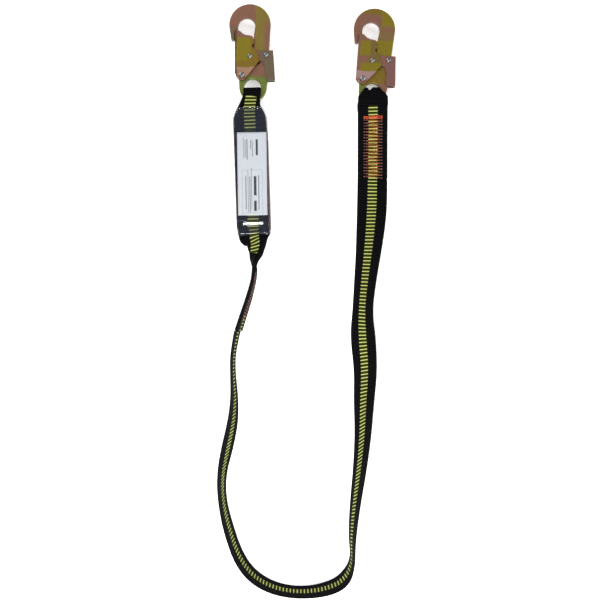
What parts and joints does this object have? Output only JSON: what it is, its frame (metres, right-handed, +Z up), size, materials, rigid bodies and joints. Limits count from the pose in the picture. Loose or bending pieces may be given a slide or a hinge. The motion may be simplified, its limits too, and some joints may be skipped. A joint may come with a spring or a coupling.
{
  "type": "shock absorbing lanyard",
  "caption": "Webbing fall-arrest lanyard laid out flat, with a sleeved tear-webbing energy absorber and a double-lock snap hook at each end.",
  "frame": {"origin": "centre of the absorber's underside, on the surface the lanyard lies on", "axes": "+Y along the absorber towards the hooks, +X towards the strap's far strand, +Z up off the surface"},
  "size_m": [0.2596, 0.8623, 0.0446],
  "materials": {
    "clear_sleeve": "clear shrink film",
    "label": "printed film, left plain",
    "webbing": "woven polyester with a dashed yellow-green tracer",
    "thread": "bonded polyester thread",
    "zinc_steel": "yellow zinc chromate, iridescent",
    "rivet_steel": "bare bright steel",
    "spring_steel": "oiled spring wire"
  },
  "bodies": {
    "lanyard": {"absorber_sleeve": "clear_sleeve", "absorber_label": "label", "tear_webbing": "webbing", "hook_strap": "webbing", "sewn_loop": "webbing", "sewn_loop_stitching": "thread", "lanyard_webbing": "webbing", "hook_loop": "webbing", "hook_loop_stitching": "thread"},
    "pack_hook": {"pack_hook_body": "zinc_steel", "pack_hook_gate_rivet": "rivet_steel", "pack_hook_lever_rivet": "rivet_steel", "pack_hook_gate_spring": "spring_steel", "pack_hook_lever_spring": "spring_steel"},
    "pack_hook_gate": {"pack_hook_gate": "zinc_steel", "pack_hook_lock_pin": "rivet_steel"},
    "pack_hook_lever": {"pack_hook_lock_lever": "zinc_steel"},
    "end_hook": {"end_hook_body": "zinc_steel", "end_hook_gate_rivet": "rivet_steel", "end_hook_lever_rivet": "rivet_steel", "end_hook_gate_spring": "spring_steel", "end_hook_lever_spring": "spring_steel"},
    "end_hook_gate": {"end_hook_gate": "zinc_steel", "end_hook_lock_pin": "rivet_steel"},
    "end_hook_lever": {"end_hook_lock_lever": "zinc_steel"}
  },
  "joints": [
    {"name": "pack_hook_swing", "type": "hinge", "parent": "lanyard", "child": "pack_hook", "pos_m": [-0.00018, 0.1111, 0.011], "axis": [1, 0, 0], "range_deg": [-60, 60]},
    {"name": "pack_hook_gate_turn", "type": "hinge", "parent": "pack_hook", "child": "pack_hook_gate", "pos_m": [-0.01548, 0.1412, 0.011], "axis": [0, 0, -1], "range_deg": [0, 20], "stiffness_Nm_per_rad": 0.25, "springref_deg": -20.05, "deforming": ["pack_hook_gate_spring"]},
    {"name": "pack_hook_lever_turn", "type": "hinge", "parent": "pack_hook", "child": "pack_hook_lever", "pos_m": [0.02012, 0.17141, 0.011], "axis": [0, 0, -1], "range_deg": [0, 10], "stiffness_Nm_per_rad": 0.1, "springref_deg": -11.46, "deforming": ["pack_hook_lever_spring"]},
    {"name": "end_hook_swing", "type": "hinge", "parent": "lanyard", "child": "end_hook", "pos_m": [0.1742, 0.10465, 0.011], "axis": [0.9969, -0.0785, 0], "range_deg": [-60, 60]},
    {"name": "end_hook_gate_turn", "type": "hinge", "parent": "end_hook", "child": "end_hook_gate", "pos_m": [0.16131, 0.13586, 0.011], "axis": [0, 0, -1], "range_deg": [0, 20], "stiffness_Nm_per_rad": 0.25, "springref_deg": -20.05, "deforming": ["end_hook_gate_spring"]},
    {"name": "end_hook_lever_turn", "type": "hinge", "parent": "end_hook", "child": "end_hook_lever", "pos_m": [0.19917, 0.16317, 0.011], "axis": [0, 0, -1], "range_deg": [0, 10], "stiffness_Nm_per_rad": 0.1, "springref_deg": -11.46, "deforming": ["end_hook_lever_spring"]}
  ],
  "couplings": [
    {"joint": "pack_hook_lever_turn", "follows": "pack_hook_gate_turn", "ratio": 0.5},
    {"joint": "end_hook_lever_turn", "follows": "end_hook_gate_turn", "ratio": 0.5}
  ]
}
